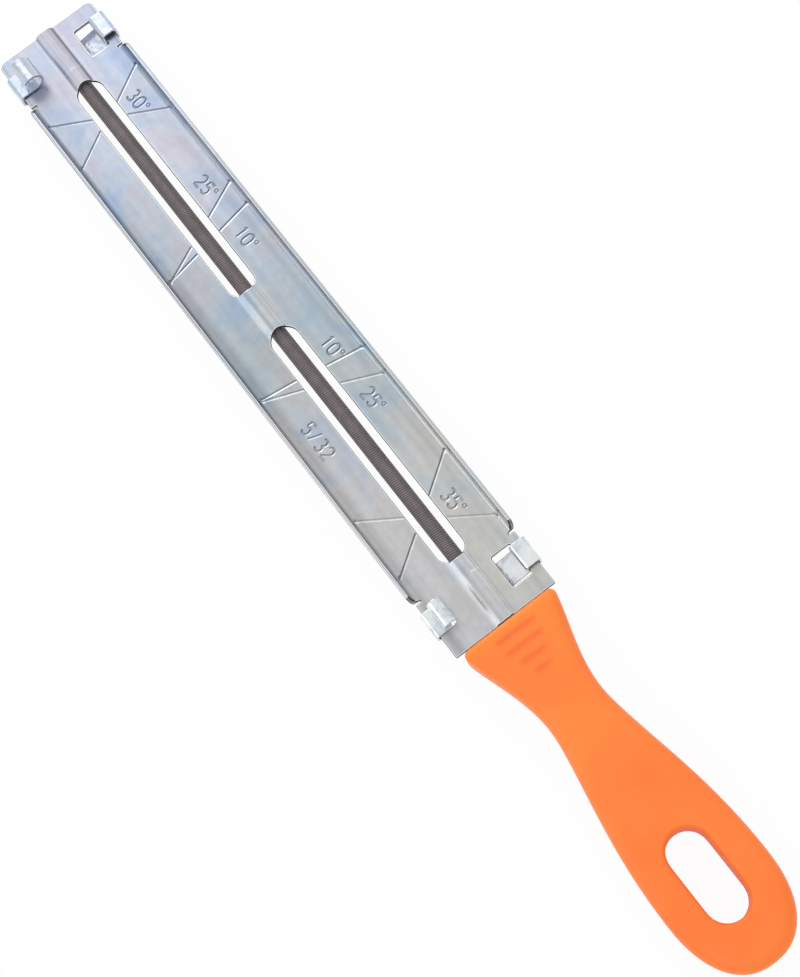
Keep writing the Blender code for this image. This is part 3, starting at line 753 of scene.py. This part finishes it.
def cutTeeth(shape, startX, endX):
    # Moves each point of the cut length in or out, so that spiral teeth run round the rod
    margin = roundFile["endMargin"]
    for point in shape.verts:
        across = Vector((point.co.y, point.co.z - roundFile["axisHeight"]))
        inCut = startX + margin < point.co.x < endX - margin
        if not inCut or across.length < roundFile["radius"] * roundFile["rimShare"]:
            continue
        turn = math.atan2(across.y, across.x) / (2 * math.pi)
        share = ((point.co.x - startX) / roundFile["toothPitch"] + turn * roundFile["starts"]) % 1
        sunk = roundFile["toothDepth"] * (1 - share)  # steep on one side and sloping on the other
        across = across.normalized() * (roundFile["radius"] - sunk)
        point.co.y = across.x
        point.co.z = across.y + roundFile["axisHeight"]


def makeFile():
    # The cut rod is drawn out from the shank's own ring, so the teeth, shank and tang are one piece
    piece = copyOfNode("round_file", "roundFile")
    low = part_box("round_file")[0]
    shape = bmesh.new()
    shape.from_mesh(piece.data)
    cut = bmesh.ops.bisect_plane(shape, geom=shape.verts[:] + shape.edges[:] + shape.faces[:],
                                 dist=mergeReach, plane_co=(roundFile["cutEnd"], 0, 0),
                                 plane_no=(-1, 0, 0), clear_outer=True)
    ring = [edge for edge in cut["geom_cut"] if isinstance(edge, bmesh.types.BMEdge)]
    length = roundFile["cutEnd"] - low.x
    drawn = bmesh.ops.extrude_edge_only(shape, edges=ring)["geom"]
    ends = [part for part in drawn if isinstance(part, bmesh.types.BMVert)]
    bmesh.ops.translate(shape, verts=ends, vec=(-length, 0, 0))
    long = [edge for edge in shape.edges if edge.calc_length() > length / 2]
    rings = round(length / roundFile["toothPitch"] * roundFile["ringsPerTooth"])
    bmesh.ops.subdivide_edges(shape, edges=long, cuts=rings - 1, use_grid_fill=True)
    setRings(shape, low.x, length / rings)
    rims = [edge for edge in shape.edges if edge.is_boundary]
    bmesh.ops.holes_fill(shape, edges=rims, sides=0)
    cutTeeth(shape, low.x, roundFile["cutEnd"])
    bmesh.ops.recalc_face_normals(shape, faces=shape.faces)
    shape.to_mesh(piece.data)
    shape.free()
    shadeByAngle(piece, roundFile["creaseFrom"])
    finishPiece(piece, makeFileSteel(), "file", "round_file")
    print("file cut:", len(piece.data.polygons), "faces")


# Moulded handle
handle = {
    "voxel": 0.35 * mm,
    "smoothing": 12,  # passes
    "smoothShare": 0.5,
    "litFront": (50, 54.5),  # along X in mm, where the painted light on the front next to the plate, yellower, gives way to the plain orange
    "grooves": [(53.9, 6.4), (57.4, 6.0), (60.9, 4.4), (64.4, 3.1)],  # place along X and half length, in mm
    "grooveWidth": 1.5 * mm,
    "grooveDepth": 0.16 * mm,
    "grooveFade": 2 * mm,
    "grooveReach": 4,  # half widths from a groove's middle, past which it no longer shows
    "flatFrom": 0.5,  # how far a point's normal leans up or down where it is on the top or the underside
}


def makePolypropylene():
    # Polypropylene, injection moulded in a lightly textured mould. It is satin and lets a little light
    # through. Its front next to the plate is painted yellower, as painted light.
    material, tree, shader, place = startMaterial("mouldedPolypropylene", {
        "Roughness": 0.42, "IOR": 1.49, "Subsurface Weight": 0.12, "Subsurface Radius": (1.0, 0.4, 0.1),
        "Subsurface Scale": 1.2 * mm})
    clouds = addNode(tree, "ShaderNodeTexNoise", None, {"Vector": place, "Scale": 1 / 25, "Detail": 2})
    tint = addNode(tree, "ShaderNodeValToRGB", {"stops": [(0.3, "#FF7828"), (0.7, "#FF8430")]},
                   {"Fac": clouds.outputs["Fac"]})
    along = addNode(tree, "ShaderNodeSeparateXYZ", None, {"Vector": place})
    litFront = addNode(tree, "ShaderNodeMapRange", None,
                      {"Value": along.outputs["X"], "From Min": handle["litFront"][0],
                       "From Max": handle["litFront"][1], "To Min": 0.7, "To Max": 0})
    tint = addNode(tree, "ShaderNodeMixRGB", None,
                   {"Fac": litFront.outputs["Result"], "Color1": tint.outputs["Color"],
                    "Color2": linearColour("#FF8E20")})
    # Painted shade in the thumb grooves, darker and redder as deep as they sink
    sunk = addNode(tree, "ShaderNodeAttribute", {"attribute_name": "grooveShare"})
    markOrGrooveShade = addNode(tree, "ShaderNodeMixRGB", None,
                     {"Fac": sunk.outputs["Fac"], "Color1": tint.outputs["Color"],
                      "Color2": linearColour("#F86C20")})
    tree.links.new(markOrGrooveShade.outputs["Color"], shader.inputs["Base Color"])
    grain = addNode(tree, "ShaderNodeTexNoise", None, {"Vector": place, "Scale": 1 / 0.3, "Detail": 3})
    rough = addNode(tree, "ShaderNodeMapRange", None,
                    {"Value": grain.outputs["Fac"], **noiseSpread, "To Min": 0.36, "To Max": 0.5})
    tree.links.new(rough.outputs["Result"], shader.inputs["Roughness"])
    bump = addNode(tree, "ShaderNodeBump", None,
                   {"Height": grain.outputs["Fac"], "Distance": 0.012 * mm, "Strength": 0.6})
    tree.links.new(bump.outputs["Normal"], shader.inputs["Normal"])
    return material


def pressGrooves(piece):
    # Sinks the four thumb grooves into both faces, each fading out at its ends, and keeps how deep each point
    # lies in one for the painted shade there
    shape = bmesh.new()
    shape.from_mesh(piece.data)
    grooveShare = shape.verts.layers.float.new("grooveShare")
    for point in shape.verts:
        sunk = 0
        for grooveX, halfLength in handle["grooves"]:
            away = (point.co.x - grooveX * mm) / (handle["grooveWidth"] / 2)
            past = max(0, abs(point.co.y) - halfLength * mm + handle["grooveFade"]) / handle["grooveFade"]
            if abs(away) < handle["grooveReach"] and past < 1:
                sunk += math.exp(-away * away) * (1 - past) * (1 - past) * (1 + 2 * past)
        if abs(point.normal.z) > handle["flatFrom"]:
            point.co.z -= sunk * math.copysign(handle["grooveDepth"], point.normal.z)
            point[grooveShare] = min(1, sunk)
    shape.to_mesh(piece.data)
    shape.free()


def makeHandle():
    piece = copyOfNode("handle", "mouldedHandle")
    even = piece.modifiers.new("evenSkin", "REMESH")
    even.mode = "VOXEL"
    even.voxel_size = handle["voxel"]
    smooth = piece.modifiers.new("moulded", "SMOOTH")
    smooth.factor = handle["smoothShare"]
    smooth.iterations = handle["smoothing"]
    applyModifiers(piece)
    pressGrooves(piece)
    for face in piece.data.polygons:
        face.use_smooth = True
    finishPiece(piece, makePolypropylene(), "handle", "handle")
    print("handle moulded:", len(piece.data.polygons), "faces")


makeCamera()
makeFloor()
makeWorld()
makeLights()
makePlate()
makeClips()
makeFile()
makeHandle()
